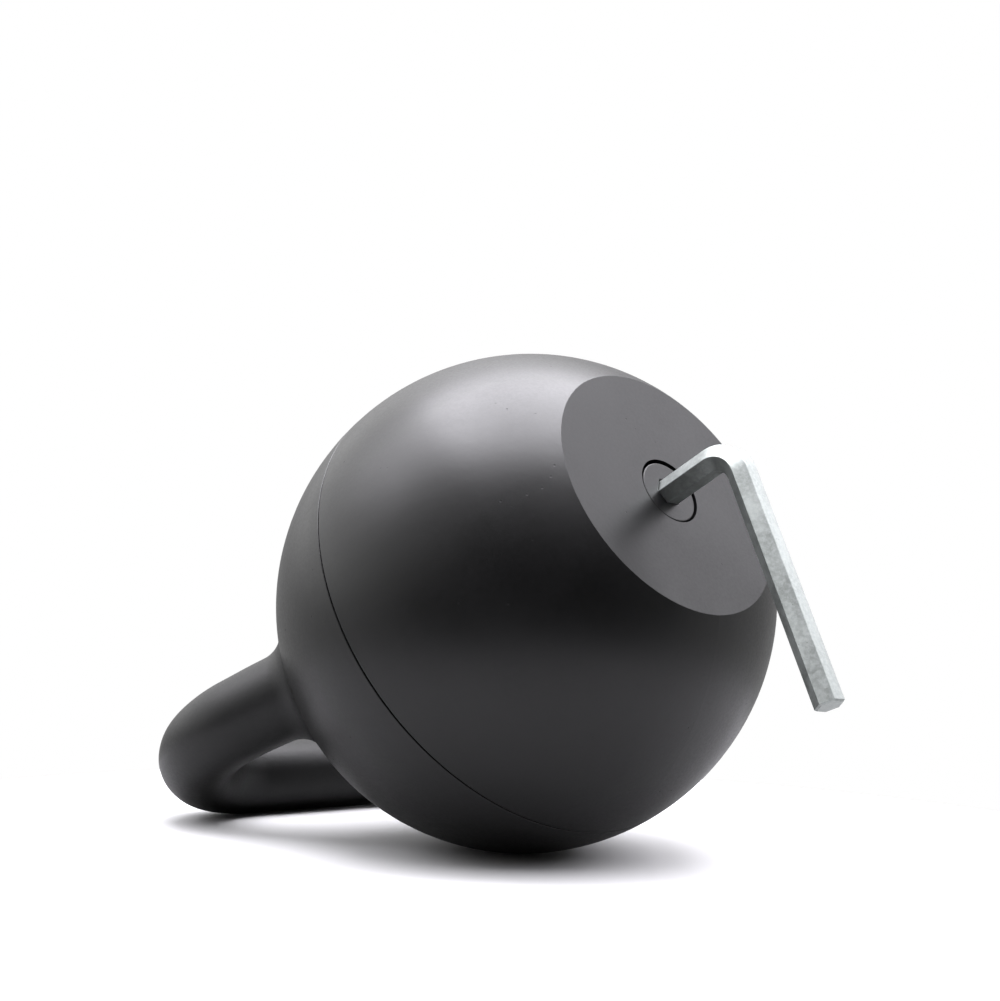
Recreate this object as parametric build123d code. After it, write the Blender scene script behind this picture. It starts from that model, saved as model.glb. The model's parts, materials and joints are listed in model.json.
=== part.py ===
from build123d import *
from math import asin, cos, degrees, hypot, radians, sin, sqrt
import os

# An adjustable competition kettlebell: a ball of two bolted half shells with a stack of weight
# plates inside, a bent-bar handle welded to the upper half, and its hex key left in the base bolt.
#
# Everything is modelled in the bell's own frame: the ball's centre is the origin, Z runs along the
# bell's axis from the handle (negative) to the flat base (positive), and Y runs along the grip.
# lay_down() then lays the bell on its side, resting on its ball and on its grip.

# ---- ball and shells -----------------------------------------------------------------------
BALL_R = 105.0  # at the seam, the ball's equator
POLE_R = 108.0  # along the axis: the ball is slightly longer than it is wide
BASE_Z = 92.0  # the flat base that the bell stands on
CAVITY_R = 96.0
CAVITY_POLE_R = 97.0
FLOOR_Z = 80.0  # inside of the base wall
SEAM_GAP = 0.6  # open joint between the two rims, held by the gasket
SEAM_EDGE = 0.35  # rounding of the rims' outer edges
BASE_EDGE = 0.4
REBATE_R = 100.0
REBATE_DEPTH = 7.0
TONGUE_IN_R = 96.4
TONGUE_OUT_R = 99.6
TONGUE_DEPTH = 5.0
GASKET_CLEARANCE = 0.3
CROWN_BOSS_R = 30.0
CROWN_BOSS_Z = -84.0
FLOOR_BOSS_R = 24.0
FLOOR_BOSS_Z = 72.0

# ---- handle --------------------------------------------------------------------------------
GRIP_R = 17.5
FOOT_R = 19.2  # the horns thicken towards the ball
GRIP_Z = -178.0
FOOT_Y = 62.5  # horn centreline at FOOT_Z
FOOT_Z = -80.0
CORNER_Y = 108.5  # where horn and grip centrelines would meet
CORNER_RADIUS = 49.0
CORNER_START_R = 18.55  # horn radius where the bend starts
HORN_TAIL = 25.0  # the horn is drawn this far behind its foot, then trimmed by the ball

# ---- post, plates and nut ------------------------------------------------------------------
POST_R = 14.0
POST_END_Z = 70.0
SPIGOT_R = 10.0
SPIGOT_LENGTH = 15.0
FLANGE_R = 22.0
FLANGE_T = 6.0
POST_CHAMFER = 1.2
POST_BEAD = 4.0
INSERT_R = 11.0
INSERT_BORE_R = 8.3
INSERT_CHAMFER = 1.0
INSERT_LENGTH = 30.0
RUNOUT_R = 9.0
RUNOUT_LENGTH = 8.0
PLATE_BORE_R = 14.5
PLATE_T = 16.0
PLATE_RADII = [61.0, 75.0, 84.0, 89.0, 91.0, 89.0, 84.0]  # each follows the cavity wall
PLATE_EDGE = 1.5
FINGER_HOLE_R = 9.0
FINGER_HOLE_AT = 40.0
DAMPER_T = 6.0
UPPER_DAMPER_R = 54.0
LOWER_DAMPER_R = 50.0
CLAMP_WASHER_R = 34.0
CLAMP_WASHER_T = 4.0
LOCK_NUT_AF = 42.0
LOCK_NUT_T = 16.0
LOCK_NUT_BORE_R = 14.4
LOCK_NUT_CHAMFER = 2.0

# ---- base bolt and its counterbore -----------------------------------------------------------
BOLT_R = 8.0  # M16
BOLT_LENGTH = 40.0
BOLT_CHAMFER = 1.2
HEAD_R = 13.4
HEAD_T = 6.0
HEAD_CHAMFER = 0.4
SOCKET_AF = 10.7
SOCKET_DEPTH = 12.0
BOLT_WASHER_R = 13.2
BOLT_WASHER_BORE_R = 8.4
BOLT_WASHER_T = 2.0
BOLT_HOLE_R = 8.75
COUNTERBORE_R = 14.5
COUNTERBORE_DEPTH = 8.0
COUNTERBORE_SHIFT = (-0.65, 0.7)  # the shell sits a little off the bolt's axis

# ---- rim dowels ------------------------------------------------------------------------------
DOWEL_R = 1.5
DOWEL_AT = 98.0
DOWEL_ANGLES = (45, 225)
DOWEL_LOW = -13.0
DOWEL_TOP = -3.0
DOWEL_NOTCH = 4.0

# ---- hex key ---------------------------------------------------------------------------------
KEY_AF = 10.0
KEY_REACH = 35.5  # base face to the long arm's centreline
KEY_INSERTION = 10.0
KEY_BEND_R = 12.0
KEY_BEND_ANGLE = 88.0
KEY_LONG = 97.0  # straight part of the long arm
KEY_TURN = -4.0  # the long arm points almost straight down the base face
KEY_LEAN = 2.2  # it droops a little in its socket
KEY_CHAMFER = 0.7

BIG = 130.0  # larger than the ball
SPARE = 1.0  # cutting tools run past the face they cut by this much


def disc(radius, low, high):
    return Pos(0, 0, low) * Cylinder(radius, high - low, align=(Align.CENTER, Align.CENTER, Align.MIN))


def ring(inner, outer, low, high):
    return disc(outer, low, high) - disc(inner, low - SPARE, high + SPARE)


def band(inner, outer, low, high):
    """Half section of a ring: radius across, height up."""
    return Pos(inner, low) * Rectangle(outer - inner, high - low, align=(Align.MIN, Align.MIN))


def half_ellipse(equator, pole, low=-BIG, high=BIG):
    """Half section of a spheroid, kept between two heights."""
    return Ellipse(equator, pole) & band(0, BIG, low, high)


def turned(section):
    """The solid of a half section, turned about the bell's axis."""
    return revolve(Plane.XZ * section, Axis.Z)


def spheroid(equator, pole):
    return turned(half_ellipse(equator, pole))


def hexagon_bar(across_flats, low, high, turn=0.0):
    """A hexagonal prism with one flat facing +X, then turned about Z."""
    section = RegularPolygon(across_flats / sqrt(3), 6, rotation=30 + turn)
    return extrude(Pos(0, 0, low) * section, high - low)


def outer_circle(part, radius, z):
    """The circular edge of this radius at this height."""
    edges = part.edges().filter_by(GeomType.CIRCLE)
    return edges.filter_by(lambda e: abs(e.radius - radius) < 0.05 and abs(e.center().Z - z) < 0.05)


def ellipse_radius(z):
    return BALL_R * sqrt(1 - (z / POLE_R) ** 2)


# ---- shells ----------------------------------------------------------------------------------
def dowel_spots():
    return [Pos(DOWEL_AT * cos(radians(a)), DOWEL_AT * sin(radians(a)), 0) for a in DOWEL_ANGLES]


def upper_shell():
    above_boss = half_ellipse(CAVITY_R, CAVITY_POLE_R, high=CROWN_BOSS_Z) - band(0, CROWN_BOSS_R, -BIG, 0)
    section = half_ellipse(BALL_R, POLE_R, high=0)
    section = section - half_ellipse(CAVITY_R, CAVITY_POLE_R, low=CROWN_BOSS_Z)
    section = section - above_boss
    section = section - band(0, SPIGOT_R, CROWN_BOSS_Z - SPIGOT_LENGTH, 0)
    section = section - band(0, REBATE_R, -REBATE_DEPTH, SPARE)
    shell = turned(section)
    for spot in dowel_spots():
        shell = shell - spot * disc(DOWEL_R, DOWEL_LOW, 0)
    return fillet(outer_circle(shell, BALL_R, 0), SEAM_EDGE)


def lower_shell():
    section = half_ellipse(BALL_R, POLE_R, SEAM_GAP, BASE_Z)
    section = section - half_ellipse(CAVITY_R, CAVITY_POLE_R, 0, FLOOR_Z)
    section = section + band(TONGUE_IN_R, TONGUE_OUT_R, -TONGUE_DEPTH, SEAM_GAP + SPARE)
    section = section + band(0, FLOOR_BOSS_R, FLOOR_BOSS_Z, FLOOR_Z + SPARE)
    section = section - band(0, BOLT_HOLE_R, 0, BASE_Z)
    shell = turned(section)
    counterbore = disc(COUNTERBORE_R, BASE_Z - COUNTERBORE_DEPTH, BASE_Z + SPARE)
    shell = shell - Pos(*COUNTERBORE_SHIFT, 0) * counterbore
    notch = Box(2 * DOWEL_NOTCH, 2 * DOWEL_NOTCH, 2 * (TONGUE_DEPTH + DOWEL_TOP) + SPARE)
    for spot in dowel_spots():
        shell = shell - spot * Pos(0, 0, -TONGUE_DEPTH) * notch
    shell = fillet(outer_circle(shell, ellipse_radius(SEAM_GAP), SEAM_GAP), SEAM_EDGE)
    return fillet(outer_circle(shell, ellipse_radius(BASE_Z), BASE_Z), BASE_EDGE)


def seam_gasket():
    gasket = ring(TONGUE_IN_R, REBATE_R - GASKET_CLEARANCE, -REBATE_DEPTH, -TONGUE_DEPTH)
    for spot in dowel_spots():
        gasket = gasket - spot * disc(DOWEL_R, -REBATE_DEPTH - SPARE, 0)
    return gasket


def locating_pins():
    return Compound(children=[spot * disc(DOWEL_R, DOWEL_LOW, DOWEL_TOP) for spot in dowel_spots()])


# ---- handle ----------------------------------------------------------------------------------
def horn_line():
    """Start of the horn inside the ball, its corner with the grip, and its unit direction."""
    run_y = CORNER_Y - FOOT_Y
    run_z = GRIP_Z - FOOT_Z
    length = hypot(run_y, run_z)
    direction = Vector(0, run_y / length, run_z / length)
    foot = Vector(0, FOOT_Y, FOOT_Z)
    return foot, Vector(0, CORNER_Y, GRIP_Z), direction


def rod(start, end, radius):
    axis = end - start
    return Plane(origin=start, z_dir=axis) * disc(radius, 0, axis.length)


def tapered_rod(start, end, start_r, end_r):
    axis = end - start
    cone = Cone(start_r, end_r, axis.length, align=(Align.CENTER, Align.CENTER, Align.MIN))
    return Plane(origin=start, z_dir=axis) * cone


def half_handle():
    foot, corner, direction = horn_line()
    buried = foot - direction * HORN_TAIL
    path = FilletPolyline(buried, corner, Vector(0, 0, GRIP_Z), radius=CORNER_RADIUS)
    horn, bend, grip = path.edges()
    taper = (FOOT_R - CORNER_START_R) / (bend @ 0 - foot).length
    horn_part = tapered_rod(buried, bend @ 0, FOOT_R + HORN_TAIL * taper, CORNER_START_R)
    sections = [
        Plane(origin=bend @ 0, z_dir=bend % 0) * Circle(CORNER_START_R),
        Plane(origin=bend @ 1, z_dir=bend % 1) * Circle(GRIP_R),
    ]
    bend_part = sweep(sections, path=bend, multisection=True)
    grip_part = rod(grip @ 0, grip @ 1, GRIP_R)
    return horn_part + bend_part + grip_part


def handle():
    half = half_handle()
    return Part() + half + mirror(half, Plane.XZ) - spheroid(BALL_R, POLE_R)


# ---- post, plates, nut -----------------------------------------------------------------------
def center_post():
    post = disc(SPIGOT_R, CROWN_BOSS_Z - SPIGOT_LENGTH, CROWN_BOSS_Z)
    post = post + disc(FLANGE_R, CROWN_BOSS_Z, CROWN_BOSS_Z + FLANGE_T)
    post = post + disc(POST_R, CROWN_BOSS_Z, POST_END_Z)
    insert_low = POST_END_Z - INSERT_LENGTH
    post = post - disc(INSERT_R, insert_low, POST_END_Z + SPARE)
    post = post - disc(RUNOUT_R, insert_low - RUNOUT_LENGTH, insert_low)
    return chamfer(outer_circle(post, POST_R, POST_END_Z), POST_CHAMFER)


def post_weld():
    corner = CROWN_BOSS_Z
    profile = Polyline(
        (FLANGE_R, corner),
        (FLANGE_R + POST_BEAD, corner),
        (FLANGE_R, corner + POST_BEAD),
        close=True,
    )
    return turned(make_face(profile))


def thread_insert():
    insert = ring(INSERT_BORE_R, INSERT_R, POST_END_Z - INSERT_LENGTH, POST_END_Z)
    return chamfer(outer_circle(insert, INSERT_BORE_R, POST_END_Z), INSERT_CHAMFER)


def weight_plate(radius, low):
    plate = ring(PLATE_BORE_R, radius, low, low + PLATE_T)
    rims = outer_circle(plate, radius, low) + outer_circle(plate, radius, low + PLATE_T)
    plate = chamfer(rims, PLATE_EDGE)
    finger_hole = disc(FINGER_HOLE_R, low - SPARE, low + PLATE_T + SPARE)
    for side in (-1, 1):
        plate = plate - Pos(0, side * FINGER_HOLE_AT, 0) * finger_hole
    return plate


def lock_nut(low):
    top = low + LOCK_NUT_T
    corners = LOCK_NUT_AF / sqrt(3)
    crown = disc(corners, low, top)
    crown = chamfer(outer_circle(crown, corners, low) + outer_circle(crown, corners, top), LOCK_NUT_CHAMFER)
    return (hexagon_bar(LOCK_NUT_AF, low, top) & crown) - disc(LOCK_NUT_BORE_R, low - SPARE, top + SPARE)


# ---- base bolt and key -----------------------------------------------------------------------
def base_bolt():
    under_head = BASE_Z - HEAD_T
    bolt = disc(HEAD_R, under_head, BASE_Z) + disc(BOLT_R, under_head - BOLT_LENGTH, under_head)
    bolt = chamfer(outer_circle(bolt, HEAD_R, BASE_Z), HEAD_CHAMFER)
    bolt = chamfer(outer_circle(bolt, BOLT_R, under_head - BOLT_LENGTH), BOLT_CHAMFER)
    return bolt - hexagon_bar(SOCKET_AF, BASE_Z - SOCKET_DEPTH, BASE_Z + SPARE, KEY_TURN)


def bolt_washer():
    floor = BASE_Z - COUNTERBORE_DEPTH
    return ring(BOLT_WASHER_BORE_R, BOLT_WASHER_R, floor, floor + BOLT_WASHER_T)


def hex_key():
    """Drawn from the short arm's tip at the origin, with the long arm towards +X."""
    # the two straight arms' centrelines cross this far along the short arm
    corner = KEY_INSERTION + KEY_REACH
    turn = radians(KEY_BEND_ANGLE)
    setback = KEY_BEND_R * sin(turn / 2) / cos(turn / 2)
    reach = setback + KEY_LONG
    end = (reach * sin(turn), 0, corner + reach * cos(turn))
    path = FilletPolyline((0, 0, 0), (0, 0, corner), end, radius=KEY_BEND_R)
    key = sweep(RegularPolygon(KEY_AF / sqrt(3), 6, rotation=30), path=path)
    tips = ShapeList([key.faces().sort_by_distance((0, 0, 0))[0], key.faces().sort_by_distance(end)[0]])
    key = chamfer(tips[0].edges() + tips[1].edges(), KEY_CHAMFER)
    # it droops about the middle of its insertion
    key = Pos(0, 0, -KEY_INSERTION / 2) * key
    key = Rot(0, 0, KEY_TURN) * Rot(0, KEY_LEAN, 0) * key
    return Pos(0, 0, BASE_Z - KEY_INSERTION / 2) * key


# ---- assembly --------------------------------------------------------------------------------
def plate_stack():
    """Dampers, plates, washer and nut, in order along the post."""
    stack = {}
    level = CROWN_BOSS_Z + FLANGE_T
    stack["upper_damper"] = ring(PLATE_BORE_R, UPPER_DAMPER_R, level, level + DAMPER_T)
    level += DAMPER_T
    for number, radius in enumerate(PLATE_RADII, start=1):
        stack[f"weight_plate_{number}"] = weight_plate(radius, level)
        level += PLATE_T
    stack["lower_damper"] = ring(PLATE_BORE_R, LOWER_DAMPER_R, level, level + DAMPER_T)
    level += DAMPER_T
    stack["clamp_washer"] = ring(PLATE_BORE_R, CLAMP_WASHER_R, level, level + CLAMP_WASHER_T)
    stack["lock_nut"] = lock_nut(level + CLAMP_WASHER_T)
    return stack


def kettlebell():
    return {
        "upper_shell": upper_shell(),
        "handle": handle(),
        "center_post": center_post(),
        "post_weld": post_weld(),
        "thread_insert": thread_insert(),
        "seam_gasket": seam_gasket(),
        "locating_pins": locating_pins(),
        **plate_stack(),
        "lower_shell": lower_shell(),
        "bolt_washer": bolt_washer(),
        "base_bolt": base_bolt(),
        "hex_key": hex_key(),
    }


def resting_height(slope):
    """Height of the ball's centre over the floor when its axis rises at this slope."""
    return hypot(BALL_R * cos(slope), POLE_R * sin(slope))


def rest_slope():
    """The slope at which ball and grip touch the floor together."""
    slope = radians(30)
    for _ in range(20):
        slope = asin((resting_height(slope) - GRIP_R) / -GRIP_Z)
    return slope


def lay_down(parts):
    """The bell on its side, with the origin on the floor under the middle of its bounding box."""
    slope = rest_slope()
    pose = Location((0, 0, resting_height(slope)), (0, 90 - degrees(slope), 0))
    laid = {name: pose * part for name, part in parts.items()}
    shift = -(laid["handle"].bounding_box().min.X + laid["hex_key"].bounding_box().max.X) / 2
    print(f"slope {degrees(slope):.4f} deg, ball centre at x {shift:.4f}, z {resting_height(slope):.4f}")
    return {name: Pos(shift, 0, 0) * part for name, part in laid.items()}


os.makedirs("parts", exist_ok=True)
for name, part in lay_down(kettlebell()).items():
    export_step(part, f"parts/{name}.step")
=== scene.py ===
import json
from math import cos, pi, radians, sin, sqrt

import bmesh
import bpy
from mathutils import Matrix, Vector, noise


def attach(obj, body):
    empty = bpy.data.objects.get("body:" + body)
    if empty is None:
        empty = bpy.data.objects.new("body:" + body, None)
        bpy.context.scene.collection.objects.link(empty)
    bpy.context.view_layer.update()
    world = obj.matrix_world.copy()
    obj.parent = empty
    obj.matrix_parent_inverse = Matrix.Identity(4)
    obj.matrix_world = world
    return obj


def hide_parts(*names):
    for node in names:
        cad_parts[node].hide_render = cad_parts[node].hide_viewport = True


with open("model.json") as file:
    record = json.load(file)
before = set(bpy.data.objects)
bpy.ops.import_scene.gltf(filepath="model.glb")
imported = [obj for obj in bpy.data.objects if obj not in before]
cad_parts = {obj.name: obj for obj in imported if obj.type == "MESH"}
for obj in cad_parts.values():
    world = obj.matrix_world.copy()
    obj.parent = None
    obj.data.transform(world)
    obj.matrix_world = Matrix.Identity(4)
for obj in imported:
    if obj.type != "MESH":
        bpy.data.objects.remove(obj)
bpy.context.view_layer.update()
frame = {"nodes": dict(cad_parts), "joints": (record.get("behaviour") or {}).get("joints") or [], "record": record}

# ---- the bell's own frame -------------------------------------------------------------------
# Pieces are drawn in millimetres in the bell's frame: origin at the ball's centre, Z along the
# bell's axis towards the flat base, Y along the grip. BELL places them in the row frame.
JOINTS = {joint["name"]: joint for joint in frame["joints"]}
AXIS = Vector(JOINTS["shell_opening"]["axis"]).normalized()
GRIP_AXIS = Vector((0, 1, 0))
DOWNHILL = GRIP_AXIS.cross(AXIS)
BASE_CENTRE = Vector(JOINTS["bolt_turn"]["pos_m"])
MM = 0.001

BALL_R = 105.0
POLE_R = 108.0
BASE_Z = 92.0
BALL_CENTRE = BASE_CENTRE - AXIS * BASE_Z * MM

BELL = Matrix((
    (DOWNHILL.x * MM, GRIP_AXIS.x * MM, AXIS.x * MM, BALL_CENTRE.x),
    (DOWNHILL.y * MM, GRIP_AXIS.y * MM, AXIS.y * MM, BALL_CENTRE.y),
    (DOWNHILL.z * MM, GRIP_AXIS.z * MM, AXIS.z * MM, BALL_CENTRE.z),
    (0, 0, 0, 1),
))


# ---- node helpers ---------------------------------------------------------------------------
def set_range(node, low, high, to_low, to_high):
    for key, number in (("From Min", low), ("From Max", high), ("To Min", to_low), ("To Max", to_high)):
        node.inputs[key].default_value = number


class Nodes:
    """A material's node tree, with one short call for each kind of node."""

    def __init__(self, name):
        self.material = bpy.data.materials.new(name)
        self.material.use_nodes = True
        self.tree = self.material.node_tree
        self.shader = self.tree.nodes["Principled BSDF"]
        coords = self.tree.nodes.new("ShaderNodeTexCoord")
        self.place = coords.outputs["Object"]

    def add(self, kind, **values):
        node = self.tree.nodes.new(kind)
        for key, value in values.items():
            setattr(node, key, value)
        return node

    def wire(self, value, socket):
        if isinstance(value, bpy.types.NodeSocket):
            self.tree.links.new(value, socket)
        else:
            socket.default_value = value

    def set(self, **values):
        """Values that are the same all over, straight on the shader's own sockets."""
        for key, value in values.items():
            self.shader.inputs[key.replace("_", " ")].default_value = value

    def math(self, operation, a, b=0.0, clamp=False):
        node = self.add("ShaderNodeMath", operation=operation, use_clamp=clamp)
        self.wire(a, node.inputs[0])
        self.wire(b, node.inputs[1])
        return node.outputs[0]

    def vector(self, operation, a, b=(0, 0, 0)):
        node = self.add("ShaderNodeVectorMath", operation=operation)
        self.wire(a, node.inputs[0])
        self.wire(b, node.inputs[1])
        return node.outputs["Value" if operation in ("DOT_PRODUCT", "LENGTH") else "Vector"]

    def noise(self, scale, detail=2.0, rough=0.5, distortion=0.0):
        node = self.add("ShaderNodeTexNoise")
        self.wire(self.place, node.inputs["Vector"])
        node.inputs["Scale"].default_value = scale
        node.inputs["Detail"].default_value = detail
        node.inputs["Roughness"].default_value = rough
        node.inputs["Distortion"].default_value = distortion
        return node.outputs["Fac"]

    def cells(self, scale):
        """Distance to the nearest of many scattered points."""
        node = self.add("ShaderNodeTexVoronoi", feature="F1")
        self.wire(self.place, node.inputs["Vector"])
        node.inputs["Scale"].default_value = scale
        return node.outputs["Distance"]

    def remap(self, value, low, high, to_low, to_high):
        """A smooth step from to_low to to_high while the value goes from low to high."""
        node = self.add("ShaderNodeMapRange", interpolation_type="SMOOTHSTEP")
        self.wire(value, node.inputs["Value"])
        set_range(node, low, high, to_low, to_high)
        return node.outputs["Result"]

    def blend(self, share, first, second):
        node = self.add("ShaderNodeMix", data_type="RGBA")
        self.wire(share, node.inputs["Factor"])
        for key, colour in (("A", first), ("B", second)):
            socket = next(s for s in node.inputs if s.name == key and s.type == "RGBA")
            self.wire(colour if isinstance(colour, bpy.types.NodeSocket) else (*colour, 1.0), socket)
        return next(s for s in node.outputs if s.type == "RGBA")

    def bump(self, height, strength, depth, under=None):
        node = self.add("ShaderNodeBump")
        self.wire(height, node.inputs["Height"])
        node.inputs["Strength"].default_value = strength
        node.inputs["Distance"].default_value = depth
        if under is not None:
            self.wire(under, node.inputs["Normal"])
        return node.outputs["Normal"]

    def finish(self, colour=None, roughness=None, normal=None, metallic=None):
        for key, value in (
            ("Base Color", colour),
            ("Roughness", roughness),
            ("Normal", normal),
            ("Metallic", metallic),
        ):
            if value is not None:
                self.wire(value, self.shader.inputs[key])
        return self.material

    def radius_and_height(self):
        """Distance from the bell's axis, and place along it, both in metres."""
        centred = self.vector("SUBTRACT", self.place, tuple(BALL_CENTRE))
        along = self.vector("DOT_PRODUCT", centred, tuple(AXIS))
        across = self.vector("SUBTRACT", centred, self.scaled_axis(along))
        return self.vector("LENGTH", across), along

    def scaled_axis(self, along):
        """The point of the bell's axis at this distance along it."""
        node = self.add("ShaderNodeVectorMath", operation="SCALE")
        node.inputs[0].default_value = tuple(AXIS)
        self.wire(along, node.inputs["Scale"])
        return node.outputs["Vector"]


# ---- materials ------------------------------------------------------------------------------
def satin_black(name, peel_depth, roughness):
    """Satin black powder coat: a fine orange peel, faint cloudiness and a few pin pits."""
    n = Nodes(name)
    cloud = n.noise(22, 3, 0.55)
    grain = n.noise(900, 2, 0.6)
    pitted = n.remap(n.noise(60, 1), 0.60, 0.66, 0, 1)
    pits = n.math("MULTIPLY", n.remap(n.cells(230), 0.05, 0.13, 1, 0), pitted)
    colour = n.blend(cloud, (0.0006, 0.0006, 0.0007), (0.0012, 0.0011, 0.0013))
    gloss = n.remap(cloud, 0.3, 0.7, roughness - 0.03, roughness + 0.03)
    gloss = n.math("ADD", gloss, n.remap(grain, 0.3, 0.7, -0.03, 0.03))
    gloss = n.math("ADD", gloss, n.math("MULTIPLY", pits, 0.25))
    peel = n.bump(n.noise(420, 2, 0.5), 0.5, peel_depth)
    normal = n.bump(n.math("SUBTRACT", 1.0, pits), 0.6, 0.00008, peel)
    n.set(IOR=1.45)
    return n.finish(colour, gloss, normal)


def zinc_key():
    """Mottled zinc plating: fine pale and dark grey mottling with small dark specks."""
    n = Nodes("key_zinc")
    cloud = n.noise(75, 4, 0.6, distortion=0.3)
    fine = n.noise(700, 4, 0.7)
    speckled = n.remap(n.noise(160, 2), 0.57, 0.66, 0, 1)
    specks = n.math("MULTIPLY", n.remap(n.cells(480), 0.05, 0.15, 1, 0), speckled)
    colour = n.blend(n.remap(cloud, 0.32, 0.68, 0, 1), (0.250, 0.268, 0.258), (0.325, 0.347, 0.335))
    colour = n.blend(n.remap(fine, 0.35, 0.70, 0.0, 0.5), colour, (0.43, 0.456, 0.443))
    colour = n.blend(n.math("MULTIPLY", specks, 0.6), colour, (0.12, 0.127, 0.122))
    gloss = n.math("ADD", n.remap(cloud, 0.3, 0.7, 0.38, 0.45), n.remap(fine, 0.3, 0.7, -0.05, 0.07))
    normal = n.bump(fine, 0.35, 0.00004, n.bump(cloud, 0.3, 0.00010))
    return n.finish(colour, gloss, normal, 0.85)


def turned_steel(name, dark, light, ring_mm, roughness, metallic=1.0):
    """Lathe-turned metal: fine rings round the bell's axis with a little staining."""
    n = Nodes(name)
    radius, along = n.radius_and_height()
    ripple = n.math("SINE", n.math("MULTIPLY", n.math("ADD", radius, along), 2 * pi / (ring_mm * MM)))
    stain = n.noise(45, 4, 0.6)
    colour = n.blend(n.remap(stain, 0.3, 0.7, 0, 1), dark, light)
    colour = n.blend(n.remap(n.noise(700, 2), 0.62, 0.72, 0, 0.5), colour, tuple(0.5 * c for c in dark))
    gloss = n.remap(stain, 0.3, 0.7, roughness + 0.05, roughness - 0.05)
    gloss = n.math("ADD", gloss, n.math("MULTIPLY", ripple, 0.02))
    normal = n.bump(ripple, 0.25, 0.00005, n.bump(n.noise(300, 3), 0.2, 0.00006))
    return n.finish(colour, gloss, normal, metallic)


def moulded_rubber():
    """Matt black rubber with a little pale bloom."""
    n = Nodes("rubber")
    grain = n.noise(800, 3, 0.7)
    bloom = n.noise(35, 3, 0.6)
    colour = n.blend(n.remap(bloom, 0.35, 0.75, 0, 1), (0.018, 0.018, 0.018), (0.045, 0.044, 0.042))
    gloss = n.remap(grain, 0.3, 0.7, 0.72, 0.86)
    return n.finish(colour, gloss, n.bump(grain, 0.4, 0.00005))


MATERIALS = {
    "shell_paint": satin_black("shell_paint", 0.00004, 0.40),
    "handle_paint": satin_black("handle_paint", 0.00010, 0.45),
    "bolt_black": satin_black("bolt_black", 0.00003, 0.40),
    "key_zinc": zinc_key(),
    "zinc_steel": turned_steel("zinc_steel", (0.48, 0.48, 0.45), (0.66, 0.66, 0.62), 0.35, 0.30),
    "post_steel": turned_steel("post_steel", (0.30, 0.30, 0.31), (0.44, 0.44, 0.45), 0.45, 0.36),
    "plate_iron": turned_steel("plate_iron", (0.035, 0.035, 0.038), (0.075, 0.075, 0.08), 0.8, 0.48, 0.6),
    "rubber": moulded_rubber(),
}
NODE_SLOTS = {entry["node"]: entry["material_slot"] for entry in frame["record"]["subparts"]}


def dress_cad_nodes():
    """Give every CAD node the material of its slot in the record."""
    for name, node in frame["nodes"].items():
        finish = MATERIALS[NODE_SLOTS[name]]
        if not node.material_slots:
            node.data.materials.append(finish)
        for slot in node.material_slots:
            slot.material = finish


dress_cad_nodes()


# ---- mesh helpers ---------------------------------------------------------------------------
def piece(name, points, faces, body, nodes, material, sharp_angle=35.0):
    """A mesh drawn in the bell's frame, hung on its CAD body and shown in place of its CAD nodes."""
    mesh = bpy.data.meshes.new(name)
    mesh.from_pydata([BELL @ Vector(point) for point in points], [], faces)
    work = bmesh.new()
    work.from_mesh(mesh)
    bmesh.ops.recalc_face_normals(work, faces=work.faces)
    work.to_mesh(mesh)
    work.free()
    mesh.polygons.foreach_set("use_smooth", [True] * len(mesh.polygons))
    mesh.set_sharp_from_angle(angle=radians(sharp_angle))
    mesh.materials.append(MATERIALS[material])
    shown = bpy.data.objects.new(name, mesh)
    bpy.context.scene.collection.objects.link(shown)
    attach(shown, body)
    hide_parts(*nodes)


def skin(rows, closed=False):
    """Points and faces of a surface through rows of points. A row of one point closes that end."""
    points, starts, faces = [], [], []
    for row in rows:
        starts.append(len(points))
        points.extend(row)
    pairs = list(zip(range(len(rows)), range(1, len(rows))))
    if closed:
        pairs.append((len(rows) - 1, 0))
    for low, high in pairs:
        columns = max(len(rows[low]), len(rows[high]))
        for k in range(columns):
            after = (k + 1) % columns
            if len(rows[low]) == 1:
                faces.append((starts[low], starts[high] + after, starts[high] + k))
            elif len(rows[high]) == 1:
                faces.append((starts[low] + k, starts[low] + after, starts[high]))
            else:
                faces.append((starts[low] + k, starts[low] + after, starts[high] + after, starts[high] + k))
    return points, faces


def even_stops(low, high, steps):
    return [low + (high - low) * k / steps for k in range(1, steps + 1)]


def smooth(value):
    """A smooth step from 0 to 1."""
    value = min(max(value, 0.0), 1.0)
    return value * value * (3 - 2 * value)


# ---- handle with its welded feet --------------------------------------------------------------
GRIP_R = 17.5
FOOT_R = 19.2
FOOT = Vector((0, 62.5, -80.0))
CORNER = Vector((0, 108.5, -178.0))
CORNER_RADIUS = 49.0
CORNER_START_R = 18.55
WELD_R_OUT = 14.0  # rolling-ball radius of the blend between horn and ball
WELD_R_IN = 9.0  # the same on the side that faces the other horn
WELD_SINK = 0.035  # how far the blend's rim dips under the true ball, to meet its flat facets
WELD_OVERLAP = radians(6)  # the blend's arc runs on this far under the ball's skin
FOOT_MIDDLE = 8.0  # the foot's hidden middle is taken this far up the horn,
FOOT_DEPTH = 0.8  # and lies this far under the ball's skin
WELD_SEARCH_LOW = -20.0  # the blend touches the horn somewhere above this distance from its foot
DENT = 0.22  # depth of the broad hollows
DENT_RATE = 0.055  # noise steps per millimetre
DENT_FADE = 60.0  # the hollows fade out over this much of the bend
RIPPLE = 1.1  # depth of the ripples inside the bend, as a share of DENT
RIPPLE_RATE = 0.30
RIPPLE_CROSS_RATE = 0.10
RIPPLE_LAYER = 4.0
RIPPLE_AT = 0.3  # middle of the ripples, as a share of the bend
RIPPLE_REACH = 30.0
AROUND = 120  # points round the bar
BLEND_STEPS, HORN_STEPS, BEND_STEPS, GRIP_STEPS = 16, 16, 72, 14
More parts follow.
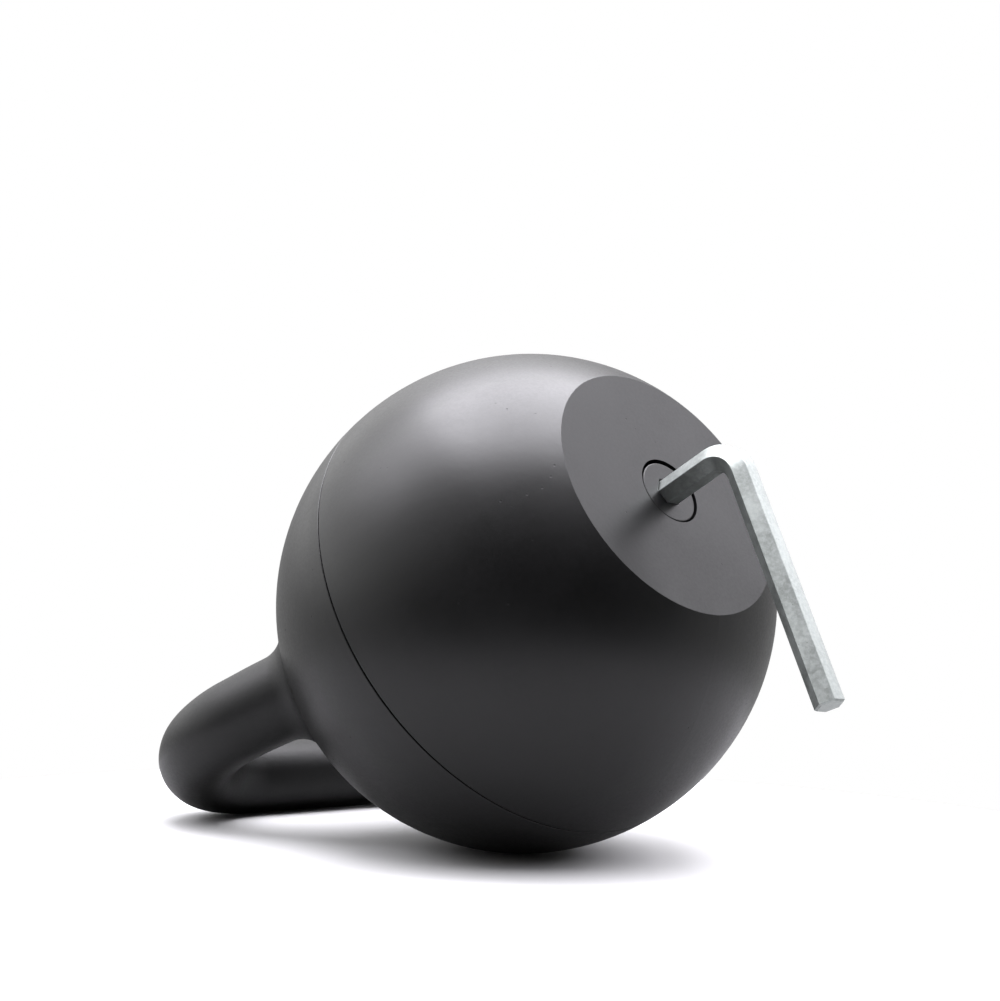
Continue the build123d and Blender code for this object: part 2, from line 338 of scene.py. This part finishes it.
SIDEWAYS = Vector((1, 0, 0))


def to_ball(point):
    """The nearest point of the ball's outside, and the outward direction there."""
    spot = Vector(point)
    for _ in range(6):
        slope = Vector((spot.x / BALL_R ** 2, spot.y / BALL_R ** 2, spot.z / POLE_R ** 2)) * 2
        over = (spot.x ** 2 + spot.y ** 2) / BALL_R ** 2 + spot.z ** 2 / POLE_R ** 2 - 1
        spot -= slope * (over / slope.length_squared)
    return spot, slope.normalized()


class HornPath:
    """Centreline of one half of the handle, from foot to mid grip, by distance from the foot."""

    def __init__(self):
        self.along = (CORNER - FOOT).normalized()
        grip_run = Vector((0, -1, 0))
        self.turn = self.along.angle(grip_run)
        setback = CORNER_RADIUS * sin(self.turn / 2) / cos(self.turn / 2)
        self.bend_start = (CORNER - FOOT).length - setback
        self.bend_end = self.bend_start + CORNER_RADIUS * self.turn
        self.end = self.bend_end + CORNER.y - setback
        self.inward = (grip_run - self.along * grip_run.dot(self.along)).normalized()
        self.centre = FOOT + self.along * self.bend_start + self.inward * CORNER_RADIUS

    def at(self, s):
        """Point, direction, and the in-plane direction towards the inside of the bend."""
        if s <= self.bend_start:
            return FOOT + self.along * s, self.along, self.inward
        angle = min((s - self.bend_start) / CORNER_RADIUS, self.turn)
        heading = self.along * cos(angle) + self.inward * sin(angle)
        inside = self.inward * cos(angle) - self.along * sin(angle)
        return self.centre - inside * CORNER_RADIUS + heading * max(s - self.bend_end, 0), heading, inside

    def radius(self, s):
        if s <= self.bend_start:
            return FOOT_R + (CORNER_START_R - FOOT_R) * s / self.bend_start
        share = min((s - self.bend_start) / (self.bend_end - self.bend_start), 1)
        return CORNER_START_R + (GRIP_R - CORNER_START_R) * share


def dents(path, s, spot, inner):
    """Hollows left by forging and bending: broad ones on the horn, short ripples inside the bend."""
    broad = noise.noise(spot * DENT_RATE) * smooth((path.bend_end - s) / DENT_FADE)
    middle = path.bend_start + RIPPLE_AT * (path.bend_end - path.bend_start)
    ripple = noise.noise(Vector((s * RIPPLE_RATE, spot.x * RIPPLE_CROSS_RATE, RIPPLE_LAYER)))
    near = smooth(1 - abs(s - middle) / RIPPLE_REACH) * smooth(2 * inner - 0.7)
    return DENT * broad + RIPPLE * DENT * ripple * near


def weld_profile(path, outward, radius):
    """The blend in one plane through the horn's axis: from the ball's skin up to the horn's side."""
    low, high = WELD_SEARCH_LOW, path.bend_start
    for _ in range(40):
        s = (low + high) / 2
        centre = FOOT + path.along * s + outward * (path.radius(s) + radius)
        spot, normal = to_ball(centre)
        if (centre - spot).dot(normal) < radius - WELD_SINK:
            low = s
        else:
            high = s
    return s, centre, -outward, (spot - centre).normalized()


def half_handle_rows(path, side):
    """Rows of points from the buried foot to mid grip; side is +1 or -1 along Y."""
    profiles = []
    for k in range(AROUND):
        angle = 2 * pi * k / AROUND
        outward = path.inward * cos(angle) + SIDEWAYS * sin(angle)
        radius = WELD_R_OUT + (WELD_R_IN - WELD_R_OUT) * smooth(cos(angle))
        profiles.append((outward, cos(angle), radius, *weld_profile(path, outward, radius)))
    under, normal = to_ball(FOOT + path.along * FOOT_MIDDLE)
    rows = [[under - normal * FOOT_DEPTH]]
    rows += [weld_row(path, profiles, step) for step in range(-1, BLEND_STEPS + 1)]
    rows += [horn_row(path, profiles, step / HORN_STEPS) for step in range(1, HORN_STEPS + 1)]
    stops = even_stops(path.bend_start, path.bend_end, BEND_STEPS)
    stops += even_stops(path.bend_end, path.end, GRIP_STEPS)
    rows += [bar_row(path, s) for s in stops]
    return [[Vector((p.x, side * p.y, p.z)) for p in row] for row in rows]


def weld_row(path, profiles, step):
    """One row round the blend. Step 0 touches the ball, the last one the horn, and -1 lies under the skin."""
    row = []
    for outward, inner, radius, s, centre, towards_horn, towards_ball in profiles:
        swing = towards_ball.angle(towards_horn)
        share = step / BLEND_STEPS if step >= 0 else -WELD_OVERLAP / swing
        facing = towards_ball * sin((1 - share) * swing) + towards_horn * sin(share * swing)
        spot = centre + facing / sin(swing) * radius
        row.append(spot - outward * dents(path, s, spot, inner) * smooth(share))
    return row


def horn_row(path, profiles, share):
    """One row round the straight horn, between the blend and the start of the bend."""
    row = []
    for outward, inner, radius, s, centre, towards_horn, towards_ball in profiles:
        here = s + (path.bend_start - s) * share
        spot = FOOT + path.along * here + outward * path.radius(here)
        row.append(spot - outward * dents(path, here, spot, inner))
    return row


def bar_row(path, s):
    """One row round the bend or the grip."""
    centre, heading, inside = path.at(s)
    row = []
    for k in range(AROUND):
        angle = 2 * pi * k / AROUND
        outward = inside * cos(angle) + SIDEWAYS * sin(angle)
        spot = centre + outward * path.radius(s)
        row.append(spot - outward * dents(path, s, spot, cos(angle)))
    return row


def welded_handle():
    """Both halves of the bar and their blended feet, as one skin."""
    path = HornPath()
    left = half_handle_rows(path, 1)
    right = half_handle_rows(path, -1)
    piece("welded_handle", *skin(left + right[-2::-1]), "upper_half", ["handle"], "handle_paint")


# ---- hex key -----------------------------------------------------------------------------------
KEY_AF = 10.0
KEY_REACH = 35.5  # base face to the long arm's centreline
KEY_INSERTION = 10.0
KEY_BEND_R = 12.0
KEY_BEND_ANGLE = radians(88)
KEY_LONG = 97.0  # straight part of the long arm
KEY_TURN = radians(-4)  # the long arm points almost straight down the base face
KEY_LEAN = radians(2.2)  # it droops a little in its socket
KEY_CHAMFER = 0.7
KEY_EDGE_R = 0.45
KEY_CORNER_STEPS = 4
KEY_FLAT_INSET = 0.15  # each flat starts this far from its rounded corner
KEY_SHORT_STEPS, KEY_BEND_STEPS, KEY_LONG_STEPS = 10, 28, 24


def hexagon_outline(shrink=0.0):
    """Points round a hexagon with flats at 0, 60, ... degrees and rounded corners."""
    half = KEY_AF / 2 - shrink
    points = []
    for corner in range(6):
        middle = radians(30 + 60 * corner)
        reach = (half - KEY_EDGE_R) / cos(radians(30))
        centre = Vector((cos(middle), sin(middle))) * reach
        for step in range(KEY_CORNER_STEPS + 1):
            angle = middle + radians(-30 + 60 * step / KEY_CORNER_STEPS)
            spot = centre + Vector((cos(angle), sin(angle))) * KEY_EDGE_R
            tangent = Vector((-sin(angle), cos(angle))) * KEY_FLAT_INSET
            if step == 0:
                points.append(spot - tangent)
            points.append(spot)
            if step == KEY_CORNER_STEPS:
                points.append(spot + tangent)
    return points


def plated_hex_key():
    """The key's hexagon swept along its short arm, bend and long arm, then laid loose in the socket."""
    setback = KEY_BEND_R * sin(KEY_BEND_ANGLE / 2) / cos(KEY_BEND_ANGLE / 2)
    short = KEY_INSERTION + KEY_REACH - setback
    bend = KEY_BEND_R * KEY_BEND_ANGLE
    total = short + bend + KEY_LONG
    stops = [0, KEY_CHAMFER]
    stops += even_stops(KEY_CHAMFER, short, KEY_SHORT_STEPS)
    stops += even_stops(short, short + bend, KEY_BEND_STEPS)
    stops += even_stops(short + bend, total - KEY_CHAMFER, KEY_LONG_STEPS) + [total]
    droop = Matrix.Translation((0, 0, BASE_Z - KEY_INSERTION / 2)) @ Matrix.Rotation(KEY_TURN, 4, "Z")
    droop = droop @ Matrix.Rotation(KEY_LEAN, 4, "Y") @ Matrix.Translation((0, 0, -KEY_INSERTION / 2))
    rows = []
    for s in stops:
        angle = min(max(s - short, 0) / KEY_BEND_R, KEY_BEND_ANGLE)
        heading = Vector((sin(angle), 0, cos(angle)))
        outside = Vector((-cos(angle), 0, sin(angle)))
        centre = Vector((KEY_BEND_R, 0, short)) + outside * KEY_BEND_R if s > short else Vector((0, 0, s))
        centre = centre + heading * max(s - short - bend, 0)
        outline = hexagon_outline(KEY_CHAMFER if s in (0, total) else 0.0)
        rows.append([droop @ (centre + outside * p.x + Vector((0, 1, 0)) * p.y) for p in outline])
    rows.insert(0, [droop @ Vector((0, 0, 0))])
    rows.append([droop @ centre])
    piece("plated_hex_key", *skin(rows), "hex_key", ["hex_key"], "key_zinc", 40)


# ---- threaded pieces ---------------------------------------------------------------------------
COLUMNS = 96
THREAD_STEPS = 10  # rows to a pitch
PRESS_GAP = 0.02  # pressed skins are drawn this far apart, so that they never share a surface

BOLT_R = 8.0
BOLT_ROOT_R = 6.8
BOLT_PITCH = 2.0
BOLT_TIP_Z = 46.0
HEAD_R = 13.4
HEAD_Z = 86.0  # underside of the head
HEAD_EDGE = 0.4
KEYWAY_AF = 10.7
KEYWAY_DEPTH = 12.0
KEYWAY_POINT = 1.5

SPIGOT_R = 10.0
SPIGOT_Z = -99.0
SPIGOT_CHAMFER = 0.8
FLANGE_R = 22.0
FLANGE_LOW_Z, FLANGE_TOP_Z = -84.0, -78.0
FLANGE_EDGE = 0.6
POST_R = 14.0
POST_ROOT_R = 12.6
POST_PITCH = 3.0
POST_THREAD_Z = 20.0
POST_END_Z = 70.0
POST_CHAMFER = 1.2
INSERT_R = 11.0
INSERT_BORE_R = 8.3
INSERT_MOUTH_R = 9.3
INSERT_Z = 40.0
RUNOUT_R = 9.0
RUNOUT_Z = 32.0
RUNOUT_POINT = 3.0

NUT_AF = 42.0
NUT_LOW_Z, NUT_TOP_Z = 50.0, 66.0
NUT_CHAMFER = 2.0
NUT_CHAMFER_STEPS = 8
NUT_CREST_R = 14.4
NUT_ROOT_R = 15.6
NUT_MOUTH_R = 15.4
NUT_LEAD = 0.8
NUT_FADE = 1.2


def thread_height(angle, z, pitch):
    """Share of a right-hand thread's depth at this angle and place: 1 on the crest, 0 in the root."""
    phase = (z / pitch - angle / (2 * pi)) % 1.0
    return min(max((abs(phase - 0.5) - 0.07) / 0.36, 0.0), 1.0)


def hexagon_radius(angle, across_flats, turn=0.0):
    wedge = radians(60)
    off = (angle - turn + wedge / 2) % wedge - wedge / 2
    return across_flats / 2 / cos(off)


def lathe(rows, closed=False, start=0.0):
    """A surface turned about the bell's axis. A row is a radius, or a function of the angle, and a height."""
    built = []
    for radius, z in rows:
        if radius == 0:
            built.append([(0, 0, z)])
            continue
        row = []
        for k in range(COLUMNS):
            angle = start + 2 * pi * k / COLUMNS
            r = radius(angle) if callable(radius) else radius
            row.append((r * cos(angle), r * sin(angle), z))
        built.append(row)
    return skin(built, closed)


def thread_row(depth, crest_r, z, pitch):
    def radius(angle):
        return crest_r - depth * (1 - thread_height(angle, z, pitch))

    return radius, z


def thread_rows(root_r, crest_r, low, high, pitch, fade=2.0):
    """Rows of a thread between two heights, running out to the crest radius at both ends."""
    steps = round((high - low) / pitch * THREAD_STEPS)
    rows = []
    for k in range(steps + 1):
        z = low + (high - low) * k / steps
        depth = (crest_r - root_r) * smooth((z - low) / fade) * smooth((high - z) / fade)
        rows.append(thread_row(depth, crest_r, z, pitch))
    return rows


def keyway(spare=0.0):
    """The socket's hexagon, opened by a little spare, as a function of the angle."""
    return lambda angle: hexagon_radius(angle, KEYWAY_AF, KEY_TURN) + spare


def base_bolt():
    shank = [(0, BOLT_TIP_Z), (BOLT_ROOT_R - 0.6, BOLT_TIP_Z), (BOLT_ROOT_R, BOLT_TIP_Z)]
    shank += thread_rows(BOLT_ROOT_R, BOLT_R, BOLT_TIP_Z + 1.2, HEAD_Z - 4, BOLT_PITCH)
    shank += [(BOLT_R, HEAD_Z - 0.6), (BOLT_R + 0.6, HEAD_Z)]
    head = [(HEAD_R - 0.2, HEAD_Z), (HEAD_R, HEAD_Z + 0.2), (HEAD_R, BASE_Z - 0.45)]
    head += [(HEAD_R - 0.12, BASE_Z - 0.15), (HEAD_R - HEAD_EDGE, BASE_Z), (HEAD_R - 0.6, BASE_Z)]
    socket = [(keyway(0.7), BASE_Z), (keyway(0.5), BASE_Z), (keyway(0.12), BASE_Z - 0.12)]
    socket += [(keyway(), BASE_Z - 0.5), (keyway(), BASE_Z - KEYWAY_DEPTH)]
    socket += [(0, BASE_Z - KEYWAY_DEPTH - KEYWAY_POINT)]
    skin_of_bolt = lathe(shank + head + socket, start=KEY_TURN + radians(30))
    piece("threaded_base_bolt", *skin_of_bolt, "base_bolt", ["base_bolt"], "bolt_black", 30)


def threaded_post():
    rows = [(0, SPIGOT_Z), (SPIGOT_R - SPIGOT_CHAMFER, SPIGOT_Z), (SPIGOT_R, SPIGOT_Z + SPIGOT_CHAMFER)]
    rows += [(SPIGOT_R, FLANGE_LOW_Z - 0.2), (SPIGOT_R + 0.2, FLANGE_LOW_Z)]
    rows += [(FLANGE_R - FLANGE_EDGE, FLANGE_LOW_Z), (FLANGE_R, FLANGE_LOW_Z + FLANGE_EDGE)]
    rows += [(FLANGE_R, FLANGE_TOP_Z - FLANGE_EDGE), (FLANGE_R - FLANGE_EDGE, FLANGE_TOP_Z)]
    rows += [(POST_R + 0.8, FLANGE_TOP_Z), (POST_R + 0.2, FLANGE_TOP_Z + 0.4), (POST_R, FLANGE_TOP_Z + 1.2)]
    thread_end = POST_END_Z - POST_CHAMFER
    rows += thread_rows(POST_ROOT_R, POST_R, POST_THREAD_Z, thread_end, POST_PITCH, POST_PITCH)
    bore = INSERT_R + PRESS_GAP
    rows += [(POST_R - POST_CHAMFER, POST_END_Z), (bore, POST_END_Z), (bore, INSERT_Z)]
    rows += [(RUNOUT_R, INSERT_Z), (RUNOUT_R, RUNOUT_Z), (0, RUNOUT_Z - RUNOUT_POINT)]
    piece("threaded_post", *lathe(rows), "upper_half", ["center_post"], "post_steel", 30)


def threaded_insert():
    outside = INSERT_R - 2 * PRESS_GAP
    rows = [(INSERT_MOUTH_R, POST_END_Z), (outside, POST_END_Z)]
    rows += [(outside, INSERT_Z), (INSERT_MOUTH_R, INSERT_Z)]
    thread_end = POST_END_Z - POST_CHAMFER
    rows += thread_rows(INSERT_MOUTH_R, INSERT_BORE_R, INSERT_Z + 1, thread_end, BOLT_PITCH, 1.0)
    piece("threaded_insert", *lathe(rows, closed=True), "upper_half", ["thread_insert"], "zinc_steel", 30)


def clamp_nut():
    corner = NUT_AF / sqrt(3)

    def side(z):
        crown = corner - max(NUT_CHAMFER - min(z - NUT_LOW_Z, NUT_TOP_Z - z), 0)
        return lambda angle: min(hexagon_radius(angle, NUT_AF), crown)

    levels = [k * NUT_CHAMFER / NUT_CHAMFER_STEPS for k in range(NUT_CHAMFER_STEPS + 1)]
    rows = [(side(NUT_LOW_Z + level), NUT_LOW_Z + level) for level in levels]
    rows += [(side(NUT_TOP_Z - level), NUT_TOP_Z - level) for level in reversed(levels)]
    low, high = NUT_LOW_Z + NUT_LEAD, NUT_TOP_Z - NUT_LEAD
    thread = thread_rows(NUT_ROOT_R, NUT_CREST_R, low, high, POST_PITCH, NUT_FADE)
    rows += [(NUT_MOUTH_R, NUT_TOP_Z)] + thread[::-1] + [(NUT_MOUTH_R, NUT_LOW_Z)]
    piece("threaded_lock_nut", *lathe(rows, closed=True), "lock_nut", ["lock_nut"], "zinc_steel", 30)


welded_handle()
plated_hex_key()
base_bolt()
threaded_post()
threaded_insert()
clamp_nut()


# ---- stage ----------------------------------------------------------------------------------
TABLE_R = 0.33
TABLE_CORNERS = 96
TABLE_GREYS = (0.21, 0.23)  # in reflections and in the light that it throws back
TABLE_EXTRA_GREYS = (0.20, 0.22)  # added for the camera
LAMP_COLOUR = (0.99, 0.975, 1.04)
BACK_LIGHT = 0.60  # the room behind the object
FRONT_LIGHT = 0.05  # and the room behind the camera
HIGH_LIGHT = 3.1  # how much brighter the room is high up than at the horizon
HIGH_RANGE = (0.42, 0.58)  # heights over which that change comes
HIGH_LEFT_SHIFT = 0.5  # it comes lower on the left than on the right

# Each lamp: bearing and elevation in degrees, distance, width and depth in metres, radiance.
LAMPS = {
    "overhead": (180, 87.5, 1.05, 1.2, 1.1, 10.2),
    "upper_left": (-95, 50, 1.3, 0.9, 0.8, 3.5),
    "right_back": (107, 41, 1.4, 0.9, 0.9, 2.45),
}
# These light the floor's shadows and leave no reflection.
WASHES = {
    "right_wash": (82, 38, 1.3, 0.9, 0.8, 11.0),
    "front_wash": (10, 58, 1.3, 0.9, 0.8, 9.0),
    "left_wash": (-70, 38, 1.3, 0.9, 0.8, 4.0),
}


def grey(value):
    return value, value, value


def floor():
    """A round white table under the object. Reflections see it dimmer than the camera does."""
    mesh = bpy.data.meshes.new("floor")
    angles = [2 * pi * k / TABLE_CORNERS for k in range(TABLE_CORNERS)]
    rim = [(TABLE_R * cos(a), TABLE_R * sin(a), 0) for a in angles]
    mesh.from_pydata(rim, [], [tuple(range(TABLE_CORNERS))])
    table = bpy.data.objects.new("floor", mesh)
    bpy.context.scene.collection.objects.link(table)
    n = Nodes("floor_paper")
    cloud = n.noise(3, 2)
    n.set(Roughness=0.9, Specular_IOR_Level=0.1)
    n.wire(n.blend(cloud, *map(grey, TABLE_GREYS)), n.shader.inputs["Base Color"])
    seen = n.add("ShaderNodeBsdfDiffuse")
    n.wire(n.blend(cloud, *map(grey, TABLE_EXTRA_GREYS)), seen.inputs["Color"])
    both = n.add("ShaderNodeAddShader")
    n.wire(seen.outputs[0], both.inputs[0])
    n.wire(n.shader.outputs[0], both.inputs[1])
    rays = n.add("ShaderNodeLightPath")
    pick = n.add("ShaderNodeMixShader")
    n.wire(rays.outputs["Is Camera Ray"], pick.inputs[0])
    n.wire(n.shader.outputs[0], pick.inputs[1])
    n.wire(both.outputs[0], pick.inputs[2])
    n.wire(pick.outputs[0], n.tree.nodes["Material Output"].inputs["Surface"])
    table.data.materials.append(n.material)


def aim(bearing, elevation):
    """A level bearing, 0 towards the camera and 90 to its right, raised by elevation, in degrees."""
    turn, rise = radians(bearing), radians(elevation)
    facing = Vector((TOWARD_CAMERA.x, TOWARD_CAMERA.y, 0)).normalized()
    rightward = Vector((-facing.y, facing.x, 0))
    level = facing * cos(turn) + rightward * sin(turn)
    return level * cos(rise) + Vector((0, 0, 1)) * sin(rise)


def softbox(name, bearing, elevation, distance, width, depth, radiance):
    """A rectangular light aimed at the ball's centre, its width level. Power is radiance x pi x area."""
    direction = aim(bearing, elevation)
    light = bpy.data.lights.new(name, "AREA")
    light.color = LAMP_COLOUR
    light.shape = "RECTANGLE"
    light.size, light.size_y = width, depth
    light.energy = radiance * pi * width * depth
    lamp = bpy.data.objects.new(name, light)
    bpy.context.scene.collection.objects.link(lamp)
    side = Vector((-TOWARD_CAMERA.y, TOWARD_CAMERA.x, 0))
    side = (side - direction * side.dot(direction)).normalized()
    head = direction.cross(side)
    place = BALL_CENTRE + direction * distance
    lamp.matrix_world = Matrix((
        (side.x, head.x, direction.x, place.x),
        (side.y, head.y, direction.y, place.y),
        (side.z, head.z, direction.z, place.z),
        (0, 0, 0, 1),
    ))
    return lamp


def studio_world():
    """White to the camera. To everything else it is pale behind, brightest high up, and dark in front."""
    world = bpy.data.worlds.new("studio")
    bpy.context.scene.world = world
    world.use_nodes = True
    tree = world.node_tree
    background = tree.nodes["Background"]
    background.inputs["Color"].default_value = (1, 1, 1, 1)
    new, link = tree.nodes.new, tree.links.new
    coords = new("ShaderNodeTexCoord")
    side = new("ShaderNodeVectorMath")
    side.operation = "DOT_PRODUCT"
    link(coords.outputs["Generated"], side.inputs[0])
    side.inputs[1].default_value = tuple(TOWARD_CAMERA)
    fade = new("ShaderNodeMapRange")
    fade.interpolation_type = "SMOOTHSTEP"
    link(side.outputs["Value"], fade.inputs["Value"])
    set_range(fade, -0.2, 0.9, BACK_LIGHT, FRONT_LIGHT)
    height = new("ShaderNodeVectorMath")
    height.operation = "DOT_PRODUCT"
    link(coords.outputs["Generated"], height.inputs[0])
    height.inputs[1].default_value = tuple(aim(0, 90) - aim(90, 0) * HIGH_LEFT_SHIFT)
    rise = new("ShaderNodeMapRange")
    link(height.outputs["Value"], rise.inputs["Value"])
    set_range(rise, *HIGH_RANGE, 1.0, HIGH_LIGHT)
    glow = new("ShaderNodeMath")
    glow.operation = "MULTIPLY"
    link(fade.outputs["Result"], glow.inputs[0])
    link(rise.outputs["Result"], glow.inputs[1])
    rays = new("ShaderNodeLightPath")
    pick = new("ShaderNodeMix")
    link(rays.outputs["Is Camera Ray"], pick.inputs["Factor"])
    link(glow.outputs["Value"], pick.inputs["A"])
    pick.inputs["B"].default_value = 1.0
    link(pick.outputs["Result"], background.inputs["Strength"])


# ---- camera ---------------------------------------------------------------------------------
CAMERA_AZIMUTH = 47.17
CAMERA_ELEVATION = -3.15
CAMERA_ROLL = 2.0
CAMERA_OFFSET = Vector((0.51956, -0.49808, 0.00312))  # from the ball's centre
CAMERA_LENS = 60.34
CAMERA_SHIFT = (-0.0006, 0.0010)  # about a pixel


def camera():
    """Make the camera, and return the direction from the object towards it."""
    data = bpy.data.cameras.new("camera")
    data.lens = CAMERA_LENS
    data.sensor_width = 36.0
    data.shift_x, data.shift_y = CAMERA_SHIFT
    data.clip_start = 0.01
    data.clip_end = 50
    eye = bpy.data.objects.new("camera", data)
    bpy.context.scene.collection.objects.link(eye)
    azimuth, elevation = radians(CAMERA_AZIMUTH), radians(CAMERA_ELEVATION)
    back = Vector((sin(azimuth) * cos(elevation), -cos(azimuth) * cos(elevation), sin(elevation)))
    level = Vector((0, 0, 1)).cross(back).normalized()
    upright = back.cross(level)
    roll = radians(CAMERA_ROLL)
    right = level * cos(roll) + upright * sin(roll)
    up = back.cross(right)
    place = BALL_CENTRE + CAMERA_OFFSET
    eye.matrix_world = Matrix((
        (right.x, up.x, back.x, place.x),
        (right.y, up.y, back.y, place.y),
        (right.z, up.z, back.z, place.z),
        (0, 0, 0, 1),
    ))
    bpy.context.scene.camera = eye
    return back


TOWARD_CAMERA = camera()
floor()
studio_world()
for name, numbers in LAMPS.items():
    softbox(name, *numbers)
for name, numbers in WASHES.items():
    softbox(name, *numbers).visible_glossy = False
bpy.context.scene.view_settings.view_transform = "Standard"
